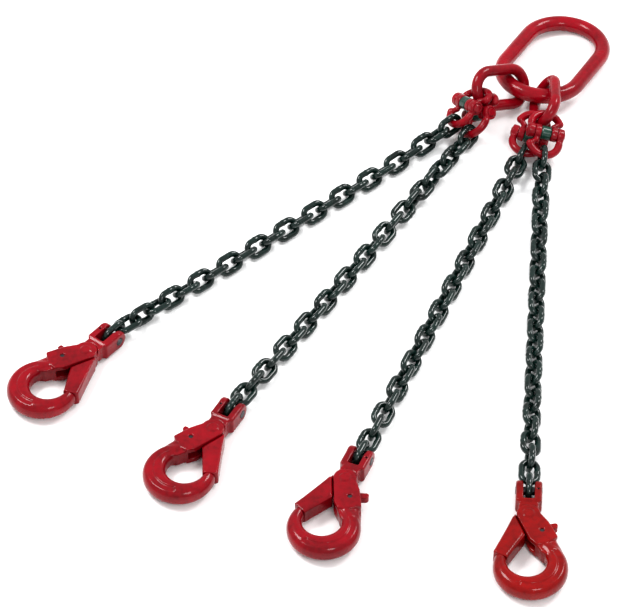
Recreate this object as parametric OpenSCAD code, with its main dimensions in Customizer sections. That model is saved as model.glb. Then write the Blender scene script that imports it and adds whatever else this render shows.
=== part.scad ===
// Four-leg chain sling laid out flat, in millimetres.
// The floor is under the links; +Z is up, +Y runs from the hooks to the master link.

/* [Master link] */
// wire diameter of the master link
master_wire = 18; // [17:0.25:19]
// inside length of the master link
master_len = 135; // [130:1:142]
// inside width of the master link
master_wid = 75; // [72:0.5:78]

/* [Intermediate links] */
// wire diameter of the two intermediate links
inter_wire = 13; // [12.5:0.1:13.3]
// inside length of an intermediate link
inter_len = 60; // [59:0.5:63]
// inside width of an intermediate link
inter_wid = 28; // [27.5:0.25:29]

/* [Couplings] */
// distance from the coupling pin to the middle of a bow
half_len = 28.5; // [28:0.25:30]
// wire diameter of a coupling bow
bow_wire = 9; // [8.5:0.1:9.2]
// distance between the middles of the two bow arms
bow_span = 35; // [34.5:0.25:37]
// diameter of the coupling pin
coupling_pin_d = 10; // [9:0.25:11]
// diameter of the bush between the coupling eyes
bush_d = 16; // [15:0.25:17]

/* [Chain] */
// wire diameter of a chain link
chain_wire = 7; // [6.6:0.1:7.2]
// spacing of the links along a leg
chain_pitch = 21; // [20.8:0.1:22]
// inside width of a chain link
chain_inside = 10; // [9.8:0.1:10.6]

/* [Hooks] */
// diameter of the clevis load pin
load_pin_d = 9; // [8.5:0.1:9.1]
// thickness of each clevis ear
ear_thick = 8; // [7:0.25:9]
// gap between the clevis ears
ear_gap = 12; // [12:0.25:13]
// inside radius of the hook bowl
bowl_hole_r = 20.7; // [20:0.1:21.5]
// outside radius of the hook bowl
bowl_outer_r = 39; // [38:0.25:40]
// thickness of the hook bowl
bowl_thick = 21; // [20:0.25:22]
// thickness over the two cheeks of the bowl shank
cheek_over = 22; // [21.5:0.1:22.2]
// thickness of the tang and trigger between the cheeks
tang_thick = 9; // [8:0.25:10]
// diameter of the hook pivot pin
pivot_pin_d = 10; // [9:0.25:11]
// diameter of the trigger pin
trigger_pin_d = 5; // [4:0.25:5.5]

/* [Hidden] */
$fn = 48;
links = 25;
upper_links = 13;
link_gap = 0.3;
run = 0.08;
side_gap = 0.3;
lift = 0.3;
link_in = chain_pitch + link_gap;
link_wc = chain_inside + chain_wire;
link_straight = link_in - chain_inside;
link_seat = link_straight / 2;
bow_seat = link_seat - 0.65;
pin_z = lift + link_wc / 2 + chain_wire / 2;

// eye widths along the coupling pin, from the middle outwards
bush_half = 5.9;
eye_in_a = bush_half + side_gap;
eye_in_b = eye_in_a + 7.2;
eye_out_a = eye_in_b + side_gap;
eye_out_b = bow_span / 2 + bow_wire / 2 - 0.2;
eye_r = 8.4;

ear_out = ear_gap / 2 + ear_thick;
ear_r = 10.8;
slot_end = link_wc / 2 + chain_wire / 2 + 6.5;

// hook plan, x from the clevis pin towards the bowl and y towards the trigger
pivot_x = 40;
trigger_x = 62;
trigger_y = 14.5;
fork_r = 12.5;
seam_r = 63.5;
bowl_x = 106.5;
bowl_y = 3.5;
hole_x = 101.5;
hole_y = -0.8;
tooth_r = 15;
slot_half = tang_thick / 2 + side_gap;

// master link, held by its far inner crown at the origin
master_head = 61;
master_tilt = 5.2;
master_at = [290.5, 391.9, 16.05];
// lengths that the layout below was set out for; a longer link pushes apart what hangs on its ends
master_drawn = 135;
inter_drawn = 60;
master_mid = master_at + ahead([0, master_tilt, master_head]) * (master_len - master_drawn) / 2;
origin = master_mid + ahead([0, master_tilt, master_head]) * master_len / 2;

// intermediate links: position of the middle, then roll, tilt and heading
inter_left_at = [225.5, 326.8, 29.5];
inter_left_turn = [55.3, 20.1, 32.4];
inter_right_at = [276.6, 302.4, 26.9];
inter_right_turn = [-56.9, 9.7, 87.9];

// couplings: pin position, turn of the lower half, fold of the upper half
pin_at = [[185.0, 293.7, 33.8], [198.8, 288.9, 21.4], [257.5, 261.0, 12.0], [274.8, 249.8, 28.0]];
coupling_turn = [[24.7, 33.1, -132.9], [38.0, 18.3, -112.4], [171.5, 0.6, -107.7], [-15.5, 21.0, -98.9]];
fold = [-28.3, -9.0, -24.1, -14.5];

// legs: heading, side of the roll, twist angle of the first link, heading of the hook
leg_head = [-139.1, -122, -112.2, -94.3];
roll_side = [1, -1, -1, -1];
top_twist = [24.7, -38.0, 7, 15.5];
hook_head = [-129.2, -118.3, -113, -93.5];
hook_flip = [180, 180, 0, 0];

// unit vector of a turn [roll, tilt, heading] along its own x
function ahead(t) = [cos(t[1]) * cos(t[2]), cos(t[1]) * sin(t[2]), -sin(t[1])];
function hung(turn) = -ahead(turn) * (inter_len - inter_drawn);
function pin_mid(k) = pin_at[k] + hung(k < 2 ? inter_left_turn : inter_right_turn);
function bow_at(k) = pin_mid(k) + ahead(coupling_turn[k]) * half_len;
function leg_dir(k) = [cos(leg_head[k]), sin(leg_head[k]), 0];
// twist of link i about the leg, 45 degrees along most of a leg
function twist(k, i) = min(45, top_twist[k] + 7.5 * (i - 1), 7.5 * (links - i));
// height of the seat before link i, and the tilt that this gives link i
function flat_z(k, i) = lift + chain_wire / 2 + link_wc / 2 * cos(max(0, twist(k, i - 0.5)));
function seat_z(k, i) = flat_z(k, i) + (bow_at(k)[2] - flat_z(k, 1)) * max(0, 1 - (i - 1) / 5);
function tilt(k, i) = asin((seat_z(k, i) - seat_z(k, i + 1)) / chain_pitch);
// the last link turns with its hook
function link_head(k, i) = i < links ? leg_head[k] : hook_head[k];
function step(k, i) = let (h = link_head(k, i)) chain_pitch * cos(tilt(k, i)) * [cos(h), sin(h)];
function plan_at(k, i) = let (b = bow_at(k), d = leg_dir(k) * (bow_seat - chain_pitch / 2))
    i <= 1 ? [b[0] + d[0], b[1] + d[1]] : plan_at(k, i - 1) + step(k, i - 1);
function seat_at(k, i) = let (p = plan_at(k, i)) [p[0], p[1], seat_z(k, i)];
function link_at(k, i) = (seat_at(k, i) + seat_at(k, i + 1)) / 2;
function hook_at(k) = let (b = link_at(k, links)) [b[0] + link_seat * cos(hook_head[k]),
    b[1] + link_seat * sin(hook_head[k]), pin_z];

// closed oblong link of round wire, long axis along x
module oblong(len_in, wid_in, wire) {
    wc = wid_in + wire;
    half = (len_in - wid_in) / 2;
    translate([half, 0, 0])
        rotate([0, 0, -90])
            rotate_extrude(angle = 180)
                translate([wc / 2, 0])
                    circle(d = wire);
    translate([-half, 0, 0])
        rotate([0, 0, 90])
            rotate_extrude(angle = 180)
                translate([wc / 2, 0])
                    circle(d = wire);
    for (s = [-1, 1])
        translate([-half, s * wc / 2, 0])
            rotate([0, 90, 0])
                cylinder(d = wire, h = 2 * half);
}

module place(at, turn) {
    translate(at - origin)
        rotate(turn)
            children();
}

module master_link() {
    color([0.67, 0.06, 0.16])
        place(master_mid, [0, master_tilt, master_head])
            oblong(master_len, master_wid, master_wire);
}

module intermediate_link(at, turn) {
    color([0.67, 0.06, 0.16])
        place(at + hung(turn) / 2, turn)
            oblong(inter_len, inter_wid, inter_wire);
}

// one half of a coupling: bow, jogged arm with the inner eye, straight arm with the outer eye
module coupling_half(hole_r) {
    arc_x = half_len - bow_span / 2;
    jog_a = 70;
    jog = [arc_x + bow_span / 2 * cos(jog_a), -bow_span / 2 * sin(jog_a)];
    mid_y = (eye_in_a + eye_in_b) / 2;
    knee_r = (eye_in_b - eye_in_a) / 2;
    out_mid = (eye_out_a + eye_out_b) / 2;
    arm_r = (eye_out_b - eye_out_a) / 2 - 0.15;
    knee = [arc_x, -mid_y];
    run_len = norm([knee[0] - jog[0], knee[1] - jog[1]]);
    difference() {
        union() {
            translate([arc_x, 0, 0])
                rotate([0, 0, -jog_a])
                    rotate_extrude(angle = 90 + jog_a)
                        translate([bow_span / 2, 0])
                            circle(d = bow_wire);
            translate([jog[0], jog[1], 0])
                rotate([0, 0, atan2(knee[1] - jog[1], knee[0] - jog[0])])
                    rotate([0, 90, 0]) {
                        sphere(r = bow_wire / 2 + 0.2);
                        cylinder(r = knee_r - 0.2, h = run_len);
                    }
            translate([knee[0], knee[1], 0])
                rotate([0, 90, 0])
                    sphere(r = knee_r);
            translate([0, knee[1], 0])
                rotate([0, 90, 0])
                    cylinder(r = knee_r - 0.2, h = knee[0]);
            translate([0, -eye_in_b, 0])
                rotate([-90, 0, 0])
                    cylinder(r = eye_r, h = eye_in_b - eye_in_a);
            translate([arc_x + 1, out_mid, 0])
                rotate([0, -90, 0])
                    cylinder(r = arm_r, h = arc_x + 1);
            translate([0, eye_out_a, 0])
                rotate([-90, 0, 0])
                    cylinder(r = eye_r, h = eye_out_b - eye_out_a - 1);
            translate([0, eye_out_b - 1, 0])
                rotate([-90, 0, 0])
                    cylinder(r1 = eye_r, r2 = eye_r - 1, h = 1);
        }
        translate([0, -eye_out_b - 1, 0])
            rotate([-90, 0, 0])
                cylinder(r = hole_r, h = 2 * eye_out_b + 2);
    }
}

module coupling_upper(k) {
    color([0.66, 0.07, 0.16])
        place(pin_mid(k), coupling_turn[k])
            rotate([0, fold[k], 0])
                rotate([0, 0, 180])
                    coupling_half(coupling_pin_d / 2);
}

module coupling_lower(k) {
    color([0.66, 0.07, 0.16])
        place(pin_mid(k), coupling_turn[k])
            coupling_half(coupling_pin_d / 2 + run);
}

module coupling_pin(k) {
    reach = eye_out_b + 1;
    color([0.5, 0.05, 0.12])
        place(pin_mid(k), coupling_turn[k])
            translate([0, -reach, 0])
                rotate([-90, 0, 0]) {
                    cylinder(d1 = coupling_pin_d - 2, d2 = coupling_pin_d, h = 1);
                    translate([0, 0, 1])
                        cylinder(d = coupling_pin_d, h = 2 * reach - 2);
                    translate([0, 0, 2 * reach - 1])
                        cylinder(d1 = coupling_pin_d, d2 = coupling_pin_d - 2, h = 1);
                }
}

module coupling_bush(k) {
    color([0.07, 0.24, 0.17])
        place(pin_mid(k), coupling_turn[k])
            translate([0, -bush_half, 0])
                rotate([-90, 0, 0])
                    difference() {
                        union() {
                            cylinder(d1 = bush_d - 2, d2 = bush_d, h = 1.5);
                            translate([0, 0, 1.5])
                                cylinder(d = bush_d, h = 2 * bush_half - 3);
                            translate([0, 0, 2 * bush_half - 1.5])
                                cylinder(d1 = bush_d, d2 = bush_d - 2, h = 1.5);
                        }
                        translate([0, 0, -1])
                            cylinder(d = coupling_pin_d, h = 2 * bush_half + 2);
                    }
}

// separate links of one leg, from link a to link b
module chain_run(k, a, b) {
    color([0.09, 0.18, 0.16])
        for (i = [a:b])
            place(link_at(k, i), [90 * i + roll_side[k] * twist(k, i), tilt(k, i), link_head(k, i)])
                oblong(link_in, chain_inside, chain_wire);
}

module hook_place(k) {
    place(hook_at(k), [hook_flip[k], 0, hook_head[k]])
        children();
}

module plate(points, half) {
    translate([0, 0, -half])
        linear_extrude(height = 2 * half)
            polygon(points);
}

module cross_pin_hole(r) {
    translate([0, -ear_out - 1, 0])
        rotate([-90, 0, 0])
            cylinder(r = r, h = 2 * ear_out + 2);
}

// clevis, neck, tang inside the fork and gate arm
module hook_body(k) {
    grip = [[0, -ear_out], [slot_end + 2, -ear_out], [slot_end + 5, -10], [33, -10.6], [33, 10.6],
        [slot_end + 5, 10], [slot_end + 2, ear_out], [0, ear_out]];
    arm = [[38.5, -13.6], [42, -15], [94.5, -36.7], [98, -36], [101.5, -21], [98.5, -20.2],
        [68, -2.8], [63, -4.6], [45, -12.4]];
    arm_top = [[43, -16], [95, -35.1], [98.5, -34], [101.5, -22.5], [97.5, -21.4],
        [67, -4.8], [63, -6.2], [45, -13.8]];
    web = [[30, -9], [33, -11.5], [46, -15], [62, -16], [67, -5], [52, -6], [47, 5], [40, 9], [30, 9]];
    color([0.68, 0.07, 0.16])
        hook_place(k)
            difference() {
                union() {
                    difference() {
                        intersection() {
                            plate(grip, 11);
                            rotate([0, 90, 0])
                                cylinder(r = 16.4, h = 40);
                            rotate([90, 0, 0])
                                plate([[0, -ear_r], [slot_end + 2, -ear_r], [slot_end + 5, -9.4], [40, -9.4], [40, 9.4],
                                    [slot_end + 5, 9.4], [slot_end + 2, ear_r], [0, ear_r]], ear_out + 1);
                        }
                        translate([pivot_x, 0, -15])
                            cylinder(r = fork_r + 0.4, h = 30);
                    }
                    for (s = [-1, 1]) {
                        translate([0, s * (ear_out + ear_gap / 2) / 2, 0])
                            rotate([90, 0, 0])
                                cylinder(r = ear_r, h = ear_thick - 3, center = true);
                        translate([0, s * (ear_out - 0.75), 0])
                            rotate([-90 * s, 0, 0])
                                cylinder(r1 = ear_r, r2 = ear_r - 1.5, h = 1.5, center = true);
                        translate([0, s * (ear_gap / 2 + 0.75), 0])
                            rotate([90 * s, 0, 0])
                                cylinder(r1 = ear_r, r2 = ear_r - 1.5, h = 1.5, center = true);
                    }
                    plate(web, tang_thick / 2);
                    translate([pivot_x, 0, -tang_thick / 2])
                        cylinder(r = fork_r - 0.5, h = tang_thick);
                    translate([pivot_x, 0, -tang_thick / 2])
                        rotate([0, 0, 64])
                            rotate_extrude(angle = 34)
                                translate([8, 0])
                                    square([tooth_r - 8, tang_thick]);
                    intersection() {
                        union() {
                            plate(arm, 8.2);
                            plate(arm_top, 9.5);
                        }
                        translate([pivot_x, 0, -12])
                            cylinder(r = seam_r - 0.2, h = 24, $fn = 96);
                    }
                }
                translate([-20, -ear_gap / 2, -20])
                    cube([20 + slot_end, ear_gap, 40]);
                cross_pin_hole(load_pin_d / 2);
                translate([pivot_x, 0, -15])
                    cylinder(r = pivot_pin_d / 2 + run, h = 30);
                retaining_bore();
            }
}

module retaining_bore() {
    translate([load_pin_d / 2 + 0.4, ear_gap / 2 + ear_thick / 2, -15])
        cylinder(d = 3, h = 30);
}

module load_pin(k) {
    color([0.1, 0.1, 0.1])
        hook_place(k)
            difference() {
                translate([0, -ear_out - 0.4, 0])
                    rotate([-90, 0, 0]) {
                        cylinder(d1 = load_pin_d - 1, d2 = load_pin_d, h = 0.8);
                        translate([0, 0, 0.8])
                            cylinder(d = load_pin_d, h = 2 * ear_out - 0.8);
                        translate([0, 0, 2 * ear_out])
                            cylinder(d1 = load_pin_d, d2 = load_pin_d - 1, h = 0.8);
                    }
                retaining_bore();
            }
}

module retaining_pin(k) {
    color([0.1, 0.1, 0.1])
        hook_place(k)
            translate([load_pin_d / 2 + 0.4, ear_gap / 2 + ear_thick / 2, -9.5])
                difference() {
                    cylinder(d = 3, h = 19);
                    translate([0, 0, -1])
                        cylinder(d = 1.6, h = 21);
                }
}

// bowl ring with rounded rim, its hole rounded on both faces
module bowl_ring() {
    rim = bowl_thick / 2 - 1;
    flare = 7.5;
    difference() {
        translate([bowl_x, bowl_y, 0])
            rotate_extrude($fn = 96)
                union() {
                    translate([0, -bowl_thick / 2])
                        square([bowl_outer_r - rim, bowl_thick]);
                    for (s = [-1, 1])
                        intersection() {
                            translate([bowl_outer_r - rim, s])
                                circle(r = rim);
                            translate([0, s > 0 ? 1 : -bowl_thick])
                                square([60, bowl_thick - 1]);
                        }
                    translate([0, -1])
                        square([bowl_outer_r, 2]);
                }
        translate([hole_x, hole_y, 0])
            rotate_extrude($fn = 96)
                difference() {
                    translate([0, -15])
                        square([bowl_hole_r + flare, 30]);
                    for (s = [-1, 1])
                        translate([bowl_hole_r + flare, s * (bowl_thick / 2 - flare)])
                            circle(r = flare);
                    translate([bowl_hole_r, -(bowl_thick / 2 - flare)])
                        square([flare + 1, bowl_thick - 2 * flare]);
                    for (s = [-1, 1])
                        translate([bowl_hole_r + flare - 0.01, s > 0 ? 0 : -15])
                            square([2, 15]);
                }
        for (s = [0, 180])
            translate([bowl_x, bowl_y, 0])
                rotate([s, 0, 0])
                    rotate([0, 0, s > 0 ? -129 : -21])
                        rotate_extrude(angle = 150, $fn = 96)
                            translate([bowl_outer_r - 12, bowl_thick / 2 - 1.2])
                                square([8, 3]);
    }
}

// swinging bowl with forked shank
module hook_bowl(k) {
    mouth = [[20, -60], [43.2, -12.1], [75, 2], [84.5, 11], [88.5, 15.2], [hole_x, hole_y + 1], [hole_x, -60]];
    shank = [[39, 12.45], [50, 21], [62, 27.3], [72, 32], [86, 37], [100, 30], [90, 14.5],
        [84.5, 11], [75, 2], [43.2, -12.1], [40, 0]];
    root = [[70, -1], [75, 2], [84.5, 11], [90, 14.5], [100, 28], [94, 29.5], [76, 22.3], [72, 18]];
    flank_r = bowl_thick / 2 - 1.6;
    color([0.68, 0.07, 0.16])
        hook_place(k)
            difference() {
                union() {
                    difference() {
                        bowl_ring();
                        intersection() {
                            plate(mouth, 20);
                            translate([pivot_x, 0, -20])
                                cylinder(r = seam_r + 0.2, h = 40, $fn = 96);
                        }
                    }
                    intersection() {
                        plate(shank, cheek_over / 2);
                        union() {
                            translate([pivot_x, 0, -20])
                                cylinder(r = 43, h = 40, $fn = 96);
                            translate([65.3, 19.2, 0])
                                rotate([0, 0, 22.4]) {
                                    translate([-20, -80, -flank_r + 0.1])
                                        cube([80, 80, 2 * flank_r - 0.2]);
                                    translate([-20, 0, 0])
                                        rotate([0, 90, 0])
                                            cylinder(r = flank_r, h = 80);
                                }
                        }
                    }
                    translate([pivot_x, 0, -cheek_over / 2])
                        cylinder(r = fork_r, h = cheek_over);
                    plate(root, flank_r - 0.2);
                }
                translate([0, 0, -slot_half])
                    linear_extrude(height = 2 * slot_half)
                        polygon([[15, -30], [62, -30], [80, -1], [80, 31], [60, 45], [15, 45]]);
                translate([pivot_x, 0, -20])
                    cylinder(d = pivot_pin_d, h = 40);
                translate([trigger_x, trigger_y, -20])
                    cylinder(d = trigger_pin_d, h = 40);
            }
}

module pivot_pin(k) {
    head_h = 1.2;
    color([0.6, 0.06, 0.14])
        hook_place(k)
            translate([pivot_x, 0, 0]) {
                cylinder(d = pivot_pin_d, h = cheek_over, center = true);
                for (s = [0, 180])
                    rotate([s, 0, 0])
                        translate([0, 0, cheek_over / 2])
                            cylinder(d1 = pivot_pin_d + 4, d2 = pivot_pin_d, h = head_h);
            }
}

module trigger(k) {
    blade = [[60, 9.5], [50.8, 12.5], [48.8, 16.8], [52, 19.5], [54, 22], [58, 21.5], [66, 18.5]];
    thumb = [[49.5, 18.5], [46.4, 28], [47, 30.2], [48.5, 31], [51.5, 31], [53, 29.5], [56.5, 20.5]];
    color([0.6, 0.06, 0.14])
        hook_place(k)
            difference() {
                union() {
                    translate([trigger_x, trigger_y, -tang_thick / 2 + 0.3])
                        cylinder(r = 6.2, h = tang_thick - 0.6);
                    plate(blade, tang_thick / 2 - 0.3);
                    plate(thumb, tang_thick / 2 - 0.3);
                }
                translate([trigger_x, trigger_y, -20])
                    cylinder(r = trigger_pin_d / 2 + run, h = 40);
                translate([pivot_x, 0, -20])
                    cylinder(r = tooth_r + side_gap, h = 40, $fn = 96);
            }
}

module trigger_pin(k) {
    color([0.12, 0.1, 0.1])
        hook_place(k)
            translate([trigger_x, trigger_y, 0])
                cylinder(d = trigger_pin_d, h = cheek_over - 3, center = true);
}

// bent leaf spring between the trigger and the end of the slot
module trigger_spring(k) {
    leaf = [[80, 8], [80, 16], [79.2, 16], [79.2, 9.2], [72.5, 14.4], [68.6, 15.1], [68.6, 14.3], [72.2, 13.6]];
    color([0.5, 0.52, 0.54])
        hook_place(k)
            plate(leaf, 3);
}

master_link();
intermediate_link(inter_left_at, inter_left_turn);  // intermediate_link_left
intermediate_link(inter_right_at, inter_right_turn);  // intermediate_link_right
coupling_upper(0);  // coupling_1_upper_half
coupling_lower(0);  // coupling_1_lower_half
coupling_pin(0);  // coupling_1_pin
coupling_bush(0);  // coupling_1_bush
coupling_upper(1);  // coupling_2_upper_half
coupling_lower(1);  // coupling_2_lower_half
coupling_pin(1);  // coupling_2_pin
coupling_bush(1);  // coupling_2_bush
coupling_upper(2);  // coupling_3_upper_half
coupling_lower(2);  // coupling_3_lower_half
coupling_pin(2);  // coupling_3_pin
coupling_bush(2);  // coupling_3_bush
coupling_upper(3);  // coupling_4_upper_half
coupling_lower(3);  // coupling_4_lower_half
coupling_pin(3);  // coupling_4_pin
coupling_bush(3);  // coupling_4_bush
chain_run(0, 1, upper_links);  // chain_1_upper
chain_run(0, upper_links + 1, links);  // chain_1_lower
chain_run(1, 1, upper_links);  // chain_2_upper
chain_run(1, upper_links + 1, links);  // chain_2_lower
chain_run(2, 1, upper_links);  // chain_3_upper
chain_run(2, upper_links + 1, links);  // chain_3_lower
chain_run(3, 1, upper_links);  // chain_4_upper
chain_run(3, upper_links + 1, links);  // chain_4_lower
hook_body(0);  // hook_1_body
load_pin(0);  // hook_1_load_pin
retaining_pin(0);  // hook_1_retaining_pin
hook_bowl(0);  // hook_1_bowl
pivot_pin(0);  // hook_1_pivot_pin
trigger(0);  // hook_1_trigger
trigger_pin(0);  // hook_1_trigger_pin
trigger_spring(0);  // hook_1_trigger_spring
hook_body(1);  // hook_2_body
load_pin(1);  // hook_2_load_pin
retaining_pin(1);  // hook_2_retaining_pin
hook_bowl(1);  // hook_2_bowl
pivot_pin(1);  // hook_2_pivot_pin
trigger(1);  // hook_2_trigger
trigger_pin(1);  // hook_2_trigger_pin
trigger_spring(1);  // hook_2_trigger_spring
hook_body(2);  // hook_3_body
load_pin(2);  // hook_3_load_pin
retaining_pin(2);  // hook_3_retaining_pin
hook_bowl(2);  // hook_3_bowl
pivot_pin(2);  // hook_3_pivot_pin
trigger(2);  // hook_3_trigger
trigger_pin(2);  // hook_3_trigger_pin
trigger_spring(2);  // hook_3_trigger_spring
hook_body(3);  // hook_4_body
load_pin(3);  // hook_4_load_pin
retaining_pin(3);  // hook_4_retaining_pin
hook_bowl(3);  // hook_4_bowl
pivot_pin(3);  // hook_4_pivot_pin
trigger(3);  // hook_4_trigger
trigger_pin(3);  // hook_4_trigger_pin
trigger_spring(3);  // hook_4_trigger_spring
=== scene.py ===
"""Looks of a four-leg chain sling: forged red fittings on dark dipped chain.

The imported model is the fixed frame. The forged fittings get a skin with rolled
edges, the chain links get their weld beads, and each finish is procedural.
Lengths are in metres.
"""

import logging
import math
from dataclasses import dataclass, field
from enum import Enum
from typing import Any, Dict, List, NamedTuple, Optional, Tuple, Union

import bmesh
import bpy
import numpy as np
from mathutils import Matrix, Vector


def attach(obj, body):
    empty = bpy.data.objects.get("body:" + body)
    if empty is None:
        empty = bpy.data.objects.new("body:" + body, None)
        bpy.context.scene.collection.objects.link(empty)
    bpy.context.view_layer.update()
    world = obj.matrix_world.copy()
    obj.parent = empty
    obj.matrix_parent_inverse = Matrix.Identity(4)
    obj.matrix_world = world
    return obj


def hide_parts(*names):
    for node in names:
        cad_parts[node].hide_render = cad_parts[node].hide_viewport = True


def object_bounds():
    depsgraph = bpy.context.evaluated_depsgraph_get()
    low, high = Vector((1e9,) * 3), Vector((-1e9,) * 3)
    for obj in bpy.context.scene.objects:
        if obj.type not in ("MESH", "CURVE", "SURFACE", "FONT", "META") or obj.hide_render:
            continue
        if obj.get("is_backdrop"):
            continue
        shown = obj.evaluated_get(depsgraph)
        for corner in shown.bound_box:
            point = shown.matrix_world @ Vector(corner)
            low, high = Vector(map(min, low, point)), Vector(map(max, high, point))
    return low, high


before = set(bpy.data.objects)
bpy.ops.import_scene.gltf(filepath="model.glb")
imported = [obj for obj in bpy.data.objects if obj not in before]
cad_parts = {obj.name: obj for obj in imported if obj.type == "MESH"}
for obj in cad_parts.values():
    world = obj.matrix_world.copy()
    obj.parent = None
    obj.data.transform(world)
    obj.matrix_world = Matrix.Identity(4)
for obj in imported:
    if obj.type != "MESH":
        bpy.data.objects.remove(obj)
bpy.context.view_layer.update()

Band = Tuple[float, float]
Colour = Tuple[float, float, float]
Place = Tuple[float, float, float]
Value = Union[float, "Wire"]

LOG = logging.getLogger("chain_sling")

SAME_POINT = 1e-6  # points of a mesh closer than this are one
SAME_DIGITS = 6  # the same limit, as decimals
NO_WELD = 1.0  # stands for any distance from the weld at which its bead is nil
MIX_FACTOR, MIX_LOW, MIX_HIGH, MIX_COLOUR = 0, 6, 7, 2  # the Mix node's sockets for colours


class Leg(Enum):
    """The four legs, counted from the left of the layout."""

    FIRST = 1
    SECOND = 2
    THIRD = 3
    FOURTH = 4


class Level(Enum):
    """The two runs of a leg or halves of a coupling, with the word in their body's name."""

    UPPER = "top"
    LOWER = "bottom"

    @property
    def word(self) -> str:
        """The word in the node's name."""
        return self.name.lower()


class Wire:
    """One output socket of a shader tree, with arithmetic that adds Math nodes."""

    def __init__(self, board: "Board", socket: Optional[bpy.types.NodeSocket]) -> None:
        """Keeps the shader tree and its output socket, None where a node has none."""
        self.board = board
        self.socket = socket

    def _math(self, operation: str, first: Value, second: Value) -> "Wire":
        """Returns a Math node's result, from its operation and two values or links."""
        return self.board.add("ShaderNodeMath", {"operation": operation}, {0: first, 1: second})

    def __add__(self, other: Value) -> "Wire":
        """Returns self + other."""
        return self._math("ADD", self, other)

    def __radd__(self, other: Value) -> "Wire":
        """Returns other + self."""
        return self._math("ADD", other, self)

    def __sub__(self, other: Value) -> "Wire":
        """Returns self - other."""
        return self._math("SUBTRACT", self, other)

    def __rsub__(self, other: Value) -> "Wire":
        """Returns other - self."""
        return self._math("SUBTRACT", other, self)

    def __mul__(self, other: Value) -> "Wire":
        """Returns self * other."""
        return self._math("MULTIPLY", self, other)

    def __rmul__(self, other: Value) -> "Wire":
        """Returns other * self."""
        return self._math("MULTIPLY", other, self)

    def clamp(self) -> "Wire":
        """Returns the value held between 0 and 1."""
        return self.board.add("ShaderNodeClamp", {}, {"Value": self})

    def spread(self, band: Band) -> "Wire":
        """Spreads a narrow band of values over 0 to 1.

        Args:
            band: the value that becomes 0 and the one that becomes 1.

        Returns:
            The spread value, held between 0 and 1.
        """
        settings = {"interpolation_type": "SMOOTHSTEP"}
        values = {"Value": self, "From Min": band[0], "From Max": band[1]}
        return self.board.add("ShaderNodeMapRange", settings, values)


@dataclass(frozen=True)
class Grain:
    """One layer of cloudy noise: waves per metre, finer layers, and the band that shows."""

    scale: float
    detail: float
    band: Band = (0.0, 1.0)
    rough: float = 0.5


@dataclass(frozen=True)
class Relief:
    """Small hills in a surface, too low for the mesh: their noise, depth and strength."""

    grain: Grain
    depth: float
    strength: float


class Board:
    """The shader tree of one material."""

    def __init__(self, name: str) -> None:
        """Starts a material with an empty tree.

        Args:
            name: the finish's name.
        """
        self.material = bpy.data.materials.new(name)
        self.material.use_nodes = True
        self.tree = self.material.node_tree
        self.tree.nodes.clear()
        self.place = self.add("ShaderNodeTexCoord", {}, {}, "Object")

    def add(
        self,
        kind: str,
        settings: Dict[str, Any],
        values: Dict[Union[int, str], Any],
        output: Union[int, str] = 0,
    ) -> Wire:
        """Adds one node of any kind.

        Args:
            kind: the node's type.
            settings: its own settings, set first.
            values: values or links for its sockets, by number or name.
            output: the socket that is handed back.

        Returns:
            The chosen output.
        """
        node = self.tree.nodes.new(kind)
        for key, value in settings.items():
            setattr(node, key, value)
        for key, value in values.items():
            if isinstance(value, Wire):
                self.tree.links.new(value.socket, node.inputs[key])
            else:
                node.inputs[key].default_value = value
        return Wire(self, node.outputs[output] if node.outputs else None)

    def noise(self, grain: Grain) -> Wire:
        """Adds cloudy noise in the object's own space.

        Args:
            grain: the noise.

        Returns:
            The noise, around 0.5.
        """
        values = {
            "Vector": self.place,
            "Scale": grain.scale,
            "Detail": grain.detail,
            "Roughness": grain.rough,
        }
        return self.add("ShaderNodeTexNoise", {}, values)

    def layer(self, grain: Grain) -> Wire:
        """Returns the noise with its band spread over 0 to 1."""
        return self.noise(grain).spread(grain.band)

    def cells(self, scale: float) -> Wire:
        """Returns the distance to the nearest of scattered points, scale per metre."""
        return self.add("ShaderNodeTexVoronoi", {}, {"Vector": self.place, "Scale": scale})

    def sharpness(self, band: Band) -> Wire:
        """Returns how hollow or ridged the mesh is, with a band of it spread over 0 to 1."""
        return self.add("ShaderNodeNewGeometry", {}, {}, "Pointiness").spread(band)

    def blend(self, mask: Value, low: Any, high: Any) -> Wire:
        """Mixes two colours.

        Args:
            mask: 0 gives low, 1 gives high.
            low: a colour or link.
            high: a colour or link.

        Returns:
            The mixed colour.
        """
        low, high = ((*c, 1.0) if isinstance(c, tuple) else c for c in (low, high))
        values = {MIX_FACTOR: mask, MIX_LOW: low, MIX_HIGH: high}
        return self.add("ShaderNodeMix", {"data_type": "RGBA"}, values, MIX_COLOUR)

    def bump(
        self, height: Wire, depth: float, strength: float, under: Optional[Wire] = None
    ) -> Wire:
        """Adds a bump.

        Args:
            height: the height, 0 to 1.
            depth: what 1 stands for.
            strength: how much of it shows.
            under: the normal of a coarser bump.

        Returns:
            The bumped normal.
        """
        values: Dict[Union[int, str], Any] = {
            "Strength": strength,
            "Distance": depth,
            "Height": height,
        }
        if under is not None:
            values["Normal"] = under
        return self.add("ShaderNodeBump", {}, values)

    def hills(self, relief: Relief, under: Optional[Wire] = None) -> Wire:
        """Returns the normal of small hills, laid over that of a coarser bump if there is one."""
        return self.bump(self.noise(relief.grain), relief.depth, relief.strength, under)

    def close(self, values: Dict[str, Any]) -> bpy.types.Material:
        """Ends the tree in one principled surface.

        Args:
            values: the surface's values or links by socket name.

        Returns:
            The finished material.
        """
        surface = self.add("ShaderNodeBsdfPrincipled", {}, values)
        self.add("ShaderNodeOutputMaterial", {}, {"Surface": surface})
        return self.material


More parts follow.
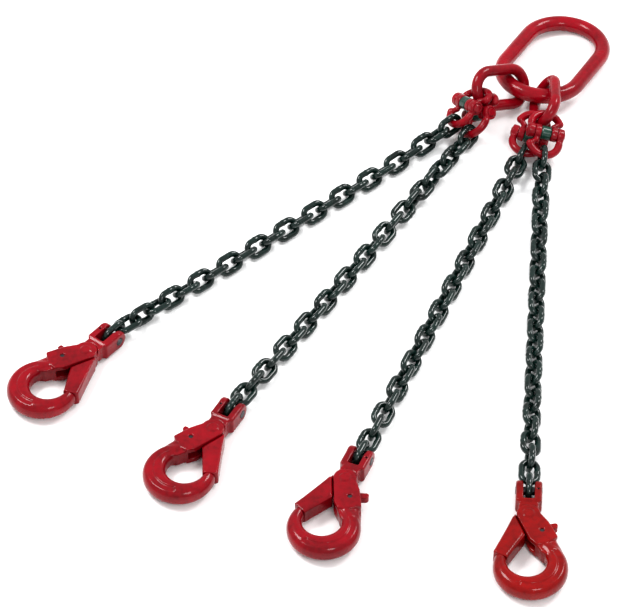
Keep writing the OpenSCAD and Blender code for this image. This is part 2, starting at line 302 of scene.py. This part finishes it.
@dataclass(frozen=True)
class Enamel:
    """Glossy enamel over a forging, with painted highlight on edges and painted shade in hollows.
    """

    name: str
    body: Colour
    # deep: a darker tone for the random clouds, also the painted shade in hollows
    deep: Colour
    # lit: the painted highlight colour laid on ridges
    lit: Colour
    gloss: float = 0.24
    coat: float = 0.36
    coat_rough: float = 0.06
    specular: float = 0.08

    cloud: Grain = Grain(28.0, 4.0, (0.3, 0.7))
    mottle: Grain = Grain(210.0, 3.0, (0.35, 0.75))
    ridge: Band = (0.515, 0.60)
    hollow: Band = (0.42, 0.492)
    cloud_share: float = 0.55
    mottle_share: float = 0.35
    # hollow_shade_share: how far hollows are darkened towards deep, as painted shade
    hollow_shade_share: float = 0.85
    # ridge_highlight_share: how far ridges are lightened towards lit, as painted highlight
    ridge_highlight_share: float = 0.35

    nick_scale: float = 160.0
    nick_size: Band = (0.05, 0.12)
    nick_field: Grain = Grain(45.0, 2.0, (0.56, 0.66))
    nick_share: float = 0.8
    rub_mark: Grain = Grain(420.0, 4.0, (0.56, 0.66), 0.65)
    rub_field: Grain = Grain(36.0, 3.0, (0.48, 0.62))
    worn: Colour = (0.11, 0.035, 0.035)
    worn_share: float = 0.7
    worn_depth: float = 0.00012
    worn_strength: float = 0.4

    cloud_rough: float = 0.07
    mottle_rough: float = 0.06
    worn_rough: float = 0.25
    worn_coat: float = 0.26
    forged: Relief = Relief(Grain(75.0, 3.0), 0.00048, 0.35)
    peel: Relief = Relief(Grain(820.0, 2.0), 0.00012, 0.22)

    def make(self) -> bpy.types.Material:
        """Builds the material.

        Returns:
            The finished material.
        """
        board = Board(self.name)
        cloud, mottle = board.layer(self.cloud), board.layer(self.mottle)
        ridge, hollow = board.sharpness(self.ridge), 1.0 - board.sharpness(self.hollow)
        tone = board.blend(
            cloud * self.cloud_share + mottle * self.mottle_share, self.body, self.deep
        )
        # painted shade: hollows darkened towards the deep colour
        tone = board.blend(hollow * self.hollow_shade_share, tone, self.deep)
        # painted highlight: ridges lightened towards the lit colour
        tone = board.blend(ridge * self.ridge_highlight_share, tone, self.lit)
        nick = 1.0 - board.cells(self.nick_scale).spread(self.nick_size)
        nick = nick * board.layer(self.nick_field)
        rub = ridge * board.layer(self.rub_mark) * board.layer(self.rub_field)
        bare = (nick * self.nick_share + rub).clamp()
        tone = board.blend(bare * self.worn_share, tone, self.worn)
        rough = cloud * self.cloud_rough + mottle * self.mottle_rough
        rough = rough + bare * self.worn_rough + self.gloss
        skin = board.hills(self.peel, board.hills(self.forged))
        skin = board.bump(1.0 - bare, self.worn_depth, self.worn_strength, skin)
        return board.close(
            {
                "Base Color": tone,
                "Roughness": rough,
                "Normal": skin,
                "Coat Weight": self.coat - bare * self.worn_coat,
                "Coat Roughness": self.coat_rough,
                "Specular IOR Level": self.specular,
            }
        )


@dataclass(frozen=True)
class Dip:
    """Thick dipped paint on chain: nearly black green with runs and bright crowns."""

    name: str
    body: Colour
    deep: Colour
    lit: Colour
    gloss: float = 0.2
    coat: float = 0.75
    coat_rough: float = 0.05
    specular: float = 0.08

    cloud: Grain = Grain(60.0, 4.0, (0.32, 0.7))
    runs: Grain = Grain(240.0, 2.0, (0.4, 0.72))
    runs_share: float = 0.35
    speck: Grain = Grain(1500.0, 2.0, (0.62, 0.75))
    ridge: Band = (0.51, 0.57)
    scuff: Grain = Grain(330.0, 4.0, (0.55, 0.68), 0.6)
    scuffed: Colour = (0.11, 0.14, 0.135)
    scuff_share: float = 0.5

    cloud_rough: float = 0.1
    speck_rough: float = 0.1
    scuff_rough: float = 0.2
    scuff_coat: float = 0.4
    pooled: Relief = Relief(Grain(150.0, 2.0), 0.0005, 0.3)
    peel: Relief = Relief(Grain(900.0, 2.0), 0.00012, 0.25)

    def make(self) -> bpy.types.Material:
        """Builds the material.

        Returns:
            The finished material.
        """
        board = Board(self.name)
        cloud, speck = board.layer(self.cloud), board.layer(self.speck)
        tone = board.blend(cloud, self.body, self.deep)
        tone = board.blend(board.layer(self.runs) * self.runs_share, tone, self.lit)
        scuff = (board.sharpness(self.ridge) * board.layer(self.scuff)).clamp()
        tone = board.blend(scuff * self.scuff_share, tone, self.scuffed)
        rough = cloud * self.cloud_rough + speck * self.speck_rough
        rough = rough + scuff * self.scuff_rough + self.gloss
        return board.close(
            {
                "Base Color": tone,
                "Roughness": rough,
                "Normal": board.hills(self.peel, board.hills(self.pooled)),
                "Coat Weight": self.coat - scuff * self.scuff_coat,
                "Coat Roughness": self.coat_rough,
                "Specular IOR Level": self.specular,
            }
        )


@dataclass(frozen=True)
class Steel:
    """Turned or sprung steel with fine marks and a thin dark film."""

    name: str
    body: Colour
    film: Colour
    gloss: float

    cloud: Grain = Grain(140.0, 4.0, (0.35, 0.7))
    marks: Grain = Grain(700.0, 5.0, rough=0.7)
    film_share: float = 0.7
    film_rough: float = 0.12
    marks_rough: float = 0.14
    marks_depth: float = 0.00006
    marks_strength: float = 0.3

    def make(self) -> bpy.types.Material:
        """Builds the material.

        Returns:
            The finished material.
        """
        board = Board(self.name)
        cloud, marks = board.layer(self.cloud), board.noise(self.marks)
        tone = board.blend(cloud * self.film_share, self.body, self.film)
        rough = cloud * self.film_rough + marks * self.marks_rough + self.gloss
        skin = board.bump(marks, self.marks_depth, self.marks_strength)
        return board.close(
            {"Base Color": tone, "Roughness": rough, "Metallic": 1.0, "Normal": skin}
        )


class Finish(Enum):
    """The finishes of the sling, one material each."""

    RING = Enamel(
        "ring_crimson",
        body=(0.29, 0.002, 0.011),
        deep=(0.13, 0.001, 0.005),
        lit=(0.42, 0.009, 0.026),
    )
    COUPLING = Enamel(
        "coupling_crimson",
        body=(0.29, 0.002, 0.011),
        deep=(0.12, 0.001, 0.005),
        lit=(0.42, 0.009, 0.026),
    )
    HOOK = Enamel(
        "hook_crimson",
        body=(0.26, 0.002, 0.009),
        deep=(0.11, 0.001, 0.004),
        lit=(0.39, 0.009, 0.020),
    )
    HOOK_WARM = Enamel(
        "hook_scarlet",
        body=(0.26, 0.003, 0.003),
        deep=(0.11, 0.001, 0.001),
        lit=(0.39, 0.012, 0.009),
    )
    CHAIN = Dip(
        "chain_green_black",
        body=(0.004, 0.016, 0.013),
        deep=(0.001, 0.005, 0.004),
        lit=(0.012, 0.036, 0.031),
    )
    BUSH = Dip(
        "bush_green",
        body=(0.007, 0.045, 0.030),
        deep=(0.004, 0.022, 0.016),
        lit=(0.014, 0.07, 0.046),
        gloss=0.3,
    )
    PIN = Steel(
        "pin_black_steel", body=(0.075, 0.075, 0.08), film=(0.03, 0.03, 0.032), gloss=0.28
    )
    SPRING = Steel("spring_steel", body=(0.42, 0.43, 0.45), film=(0.2, 0.2, 0.21), gloss=0.22)


class Bench:
    """Builds the materials, then dresses the pieces of the scene and hands them over."""

    def __init__(self) -> None:
        """Builds each material once."""
        self.paint: Dict[Finish, bpy.types.Material] = {
            finish: finish.value.make() for finish in Finish
        }

    def dress(self, piece: bpy.types.Object, finish: Finish) -> None:
        """Gives a piece its one finish.

        Args:
            piece: the piece or carried-over node.
            finish: its finish.
        """
        slots = piece.material_slots
        if not slots:
            piece.data.materials.append(self.paint[finish])
        for slot in slots:
            slot.material = self.paint[finish]

    def node(self, name: str, finish: Finish) -> None:
        """Gives the node of that name, which keeps its form, its finish."""
        self.dress(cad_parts[name], finish)
        LOG.info("%s keeps its form, finish %s", name, finish.value.name)

    def settle(
        self, piece: bpy.types.Object, body: str, node: str, finish: Finish
    ) -> None:
        """Hands over a piece that stands for a node.

        Args:
            piece: the new piece.
            body: the body it moves with.
            node: the node it stands for.
            finish: its finish.
        """
        self.dress(piece, finish)
        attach(piece, body)
        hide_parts(node)
        LOG.info("%s stands for %s, %d faces", piece.name, node, len(piece.data.polygons))


@dataclass
class ForgedSkin:
    """A forging's skin: the node's own form with every edge rolled over."""

    grain: float = 0.0008
    passes: int = 5
    pull: float = 0.5
    keep: float = 0.6

    def make(self, node: str, name: str) -> bpy.types.Object:
        """Rolls the edges of a copy of a node's form.

        Args:
            node: the node whose form is taken.
            name: the new piece's name.

        Returns:
            The new piece.
        """
        piece = bpy.data.objects.new(name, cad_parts[node].data.copy())
        bpy.context.scene.collection.objects.link(piece)
        piece.data.materials.clear()
        weld = bmesh.new()
        weld.from_mesh(piece.data)
        bmesh.ops.remove_doubles(weld, verts=weld.verts, dist=SAME_POINT)
        weld.to_mesh(piece.data)
        weld.free()
        mesh = piece.modifiers.new("form", "REMESH")
        mesh.mode, mesh.voxel_size, mesh.use_smooth_shade = "VOXEL", self.grain, True
        soft = piece.modifiers.new("roll", "SMOOTH")
        soft.factor, soft.iterations = self.pull, self.passes
        thin = piece.modifiers.new("thin", "DECIMATE")
        thin.ratio = self.keep
        shaped = piece.evaluated_get(bpy.context.evaluated_depsgraph_get())
        done = bpy.data.meshes.new_from_object(shaped)
        piece.modifiers.clear()
        piece.data = done
        for face in done.polygons:
            face.use_smooth = True
        return piece


class Station(NamedTuple):
    """A spot on a link's middle line, its outward direction and its distance to the weld."""

    spot: Tuple[float, float]
    out: Tuple[float, float]
    far: float


@dataclass
class LinkRun:
    """One rigid run of round-wire links, each with its weld bead."""

    leg: Leg
    level: Level
    wire: float = 0.007
    bead: float = 0.00045
    bead_reach: float = 0.0016
    far_side_every: int = 3
    around: int = 18
    along: int = 72

    @property
    def node(self) -> str:
        """The node that the run stands for."""
        return f"chain_{self.leg.value}_{self.level.word}"

    def _islands(self) -> List[np.ndarray]:
        """Sorts the node's points into its separate links.

        Returns:
            One array of points for each link.
        """
        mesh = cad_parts[self.node].data
        points = np.array([v.co for v in mesh.vertices])
        keys, alike = np.unique(np.round(points, SAME_DIGITS), axis=0, return_inverse=True)
        alike = alike.reshape(-1)
        head = list(range(len(keys)))

        def root(i: int) -> int:
            """Returns the first point of the group that i is in."""
            while head[i] != i:
                head[i] = head[head[i]]
                i = head[i]
            return i

        for edge in mesh.edges:
            a, b = root(alike[edge.vertices[0]]), root(alike[edge.vertices[1]])
            head[a] = b
        roots = np.array([root(i) for i in range(len(keys))])
        return [keys[roots == r] for r in sorted(set(roots))]

    def _bend(self, middle: float, bow: float, angle: float) -> Station:
        """Returns the station at one angle of a bend, from the bend's middle and radius."""
        cos, sin = math.cos(angle), math.sin(angle)
        return Station((middle + bow * cos, bow * sin), (cos, sin), NO_WELD)

    def _walk(self, reach: float, bow: float) -> List[Station]:
        """Walks once round the link, from the start of the side with the weld.

        Args:
            reach: half the length of a straight side.
            bow: the radius of the bends.

        Returns:
            The stations, evenly spaced.
        """
        turn, straight = math.pi * bow, 2.0 * reach
        total = 2.0 * (turn + straight)
        stations = []
        for i in range(self.along):
            s = total * i / self.along
            if s < straight:
                stations.append(Station((s - reach, bow), (0.0, 1.0), abs(s - reach)))
            elif s < straight + turn:
                stations.append(self._bend(reach, bow, math.pi / 2 - (s - straight) / bow))
            elif s < 2 * straight + turn:
                x = reach - (s - straight - turn)
                stations.append(Station((x, -bow), (0.0, -1.0), NO_WELD))
            else:
                angle = -math.pi / 2 - (s - 2 * straight - turn) / bow
                stations.append(self._bend(-reach, bow, angle))
        return stations

    def _link(self, form: bmesh.types.BMesh, points: np.ndarray, side: int) -> None:
        """Sweeps one link through the place of one group of points.

        Args:
            form: the mesh that the link is added to.
            points: the points of the link that it stands for.
            side: 1 or -1, the side that carries the weld.
        """
        centre = points.mean(0)
        _, _, axes = np.linalg.svd(points - centre, full_matrices=False)
        local = (points - centre) @ axes.T
        centre = centre + ((local.max(0) + local.min(0)) / 2.0) @ axes
        size = local.max(0) - local.min(0)
        reach, bow = (size[0] - size[1]) / 2.0, (size[1] - self.wire) / 2.0
        rings: List[List[bmesh.types.BMVert]] = []
        for spot, out, far in self._walk(reach, bow):
            radius = self.wire / 2.0 + self.bead * math.exp(-((far / self.bead_reach) ** 2))
            ring = []
            for j in range(self.around):
                t = 2.0 * math.pi * j / self.around
                x = spot[0] + out[0] * radius * math.cos(t)
                y = side * (spot[1] + out[1] * radius * math.cos(t))
                p = centre + x * axes[0] + y * axes[1] + radius * math.sin(t) * axes[2]
                ring.append(form.verts.new(p))
            rings.append(ring)
        for i, ring in enumerate(rings):
            after = rings[(i + 1) % len(rings)]
            for j in range(self.around):
                k = (j + 1) % self.around
                form.faces.new((ring[j], after[j], after[k], ring[k])).smooth = True

    def build(self, bench: Bench) -> None:
        """Builds the run and hands it over.

        Args:
            bench: the bench that dresses it.
        """
        form = bmesh.new()
        for count, points in enumerate(self._islands(), 1):
            self._link(form, points, 1 if count % self.far_side_every else -1)
        bmesh.ops.recalc_face_normals(form, faces=form.faces)
        mesh = bpy.data.meshes.new(f"{self.node}_links")
        form.to_mesh(mesh)
        form.free()
        piece = bpy.data.objects.new(f"{self.node}_links", mesh)
        bpy.context.scene.collection.objects.link(piece)
        body = f"chain_{self.leg.value}_{self.level.value}"
        bench.settle(piece, body, self.node, Finish.CHAIN)


@dataclass
class LinkHead:
    """The oblong master link and its two intermediate links."""

    nodes: Tuple[str, ...] = ("master_link", "intermediate_link_left", "intermediate_link_right")

    def build(self, bench: Bench) -> None:
        """Dresses the three links at the bench."""
        for name in self.nodes:
            bench.node(name, Finish.RING)


@dataclass
class Coupling:
    """Two forged bows on one pin, with a bush between their eyes."""

    leg: Leg
    skin: ForgedSkin = field(default_factory=lambda: ForgedSkin(grain=0.0007, passes=9))

    def build(self, bench: Bench) -> None:
        """Builds the halves' skins and dresses the pin and the bush.

        Args:
            bench: the bench that dresses them.
        """
        name = f"coupling_{self.leg.value}"
        for level in Level:
            node = f"{name}_{level.word}_half"
            piece = self.skin.make(node, f"{node}_forging")
            bench.settle(piece, f"{name}_{level.value}", node, Finish.COUPLING)
        bench.node(f"{name}_pin", Finish.COUPLING)
        bench.node(f"{name}_bush", Finish.BUSH)


@dataclass
class LockingHook:
    """A clevis hook whose bowl turns open and locks on a sprung trigger."""

    leg: Leg
    finish: Finish = Finish.HOOK
    slot: str = "hook_red"
    skin: ForgedSkin = field(default_factory=ForgedSkin)
    fine: ForgedSkin = field(default_factory=lambda: ForgedSkin(grain=0.0005, passes=3))

    def build(self, bench: Bench) -> None:
        """Builds the forgings' skins and dresses the pins and the spring.

        Args:
            bench: the bench that dresses them.
        """
        name = f"hook_{self.leg.value}"
        forgings = (
            ("body", name, self.skin),
            ("bowl", f"{name}_jaw", self.skin),
            ("trigger", f"{name}_release", self.fine),
        )
        for part, body, skin in forgings:
            node = f"{name}_{part}"
            piece = skin.make(node, f"{node}_forging")
            bench.settle(piece, body, node, self.finish)
        for part in ("load_pin", "retaining_pin", "trigger_pin"):
            bench.node(f"{name}_{part}", Finish.PIN)
        bench.node(f"{name}_pivot_pin", self.finish)
        bench.node(f"{name}_trigger_spring", Finish.SPRING)


@dataclass(frozen=True)
class Lamp:
    """A soft square light: its name, place from the sling's middle, side and watts."""

    name: str
    offset: Place
    side: float
    power: float


@dataclass
class Studio:
    """The pale floor, the soft lights and the camera at the photograph's angle."""

    span: float = 6.0
    gap: float = 0.0001
    pale: Colour = (0.92, 0.92, 0.92)
    paler: Colour = (0.94, 0.94, 0.94)
    clouds: Grain = Grain(3.0, 2.0)
    floor_rough: float = 0.8

    lamps: Tuple[Lamp, ...] = (
        Lamp("key", (-1.5, 0.5, 2.7), 1.1, 60.0),
        Lamp("back", (1.9, 1.2, 2.4), 1.0, 44.0),
        Lamp("side", (0.9, -2.2, 2.3), 0.9, 24.0),
    )
    room_light: float = 0.72
    contrast: str = "Medium High Contrast"

    aim: Place = (-0.32309, -0.45069, -0.00993)
    eye: Place = (-0.32309, -3.1857, 2.7731)
    lens: float = 204.2
    sensor: float = 36.0
    sight: Band = (0.05, 50.0)

    def build(self) -> None:
        """Sets up the floor, the lights, the surroundings and the camera."""
        self._floor()
        for lamp in self.lamps:
            self._light(lamp)
        self._surroundings()
        self._camera()

    def _floor(self) -> None:
        """Lays a plain pale floor under the lowest point."""
        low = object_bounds()[0][2] - self.gap
        board = Board("floor_pale")
        tone = board.blend(board.noise(self.clouds), self.pale, self.paler)
        material = board.close({"Base Color": tone, "Roughness": self.floor_rough})
        mesh = bpy.data.meshes.new("floor")
        half = self.span / 2.0
        signs = ((-1, -1), (1, -1), (1, 1), (-1, 1))
        corners = [(self.aim[0] + x * half, self.aim[1] + y * half, low) for x, y in signs]
        mesh.from_pydata(corners, [], [(0, 1, 2, 3)])
        mesh.materials.append(material)
        floor = bpy.data.objects.new("floor", mesh)
        bpy.context.scene.collection.objects.link(floor)
        floor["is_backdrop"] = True
        LOG.info("floor laid at %.5f", low)

    def _light(self, lamp: Lamp) -> None:
        """Hangs one soft square light that faces the sling.

        Args:
            lamp: the light.
        """
        light = bpy.data.lights.new(lamp.name, "AREA")
        light.shape, light.size, light.energy = "SQUARE", lamp.side, lamp.power
        holder = bpy.data.objects.new(lamp.name, light)
        holder.location = Vector(self.aim) + Vector(lamp.offset)
        holder.rotation_euler = (-Vector(lamp.offset)).to_track_quat("-Z", "Y").to_euler()
        bpy.context.scene.collection.objects.link(holder)
        LOG.info("light %s hung", lamp.name)

    def _surroundings(self) -> None:
        """Fills the room with even white light and sets how the picture is developed."""
        world = bpy.data.worlds.new("room")
        world.use_nodes = True
        sky = world.node_tree.nodes["Background"]
        sky.inputs["Color"].default_value = (1.0, 1.0, 1.0, 1.0)
        sky.inputs["Strength"].default_value = self.room_light
        bpy.context.scene.world = world
        view = bpy.context.scene.view_settings
        view.view_transform, view.look = "Standard", self.contrast

    def _camera(self) -> None:
        """Sets the camera where the photograph was taken from."""
        lens = bpy.data.cameras.new("camera")
        lens.lens, lens.sensor_width = self.lens, self.sensor
        lens.clip_start, lens.clip_end = self.sight
        camera = bpy.data.objects.new("camera", lens)
        camera.location = self.eye
        aim = Vector(self.aim) - Vector(self.eye)
        camera.rotation_euler = aim.to_track_quat("-Z", "Y").to_euler()
        bpy.context.scene.collection.objects.link(camera)
        bpy.context.scene.camera = camera
        LOG.info("camera set")


def main() -> None:
    """Builds the sling from its head to its hooks, then the studio."""
    logging.basicConfig(level=logging.INFO, format="%(name)s: %(message)s")
    bench = Bench()
    LinkHead().build(bench)
    for leg in Leg:
        Coupling(leg).build(bench)
        for level in Level:
            LinkRun(leg, level).build(bench)
        if leg is Leg.FOURTH:
            LockingHook(leg, Finish.HOOK_WARM, "hook_orange").build(bench)
        else:
            LockingHook(leg).build(bench)
    Studio().build()


if __name__ == "__main__":
    main()
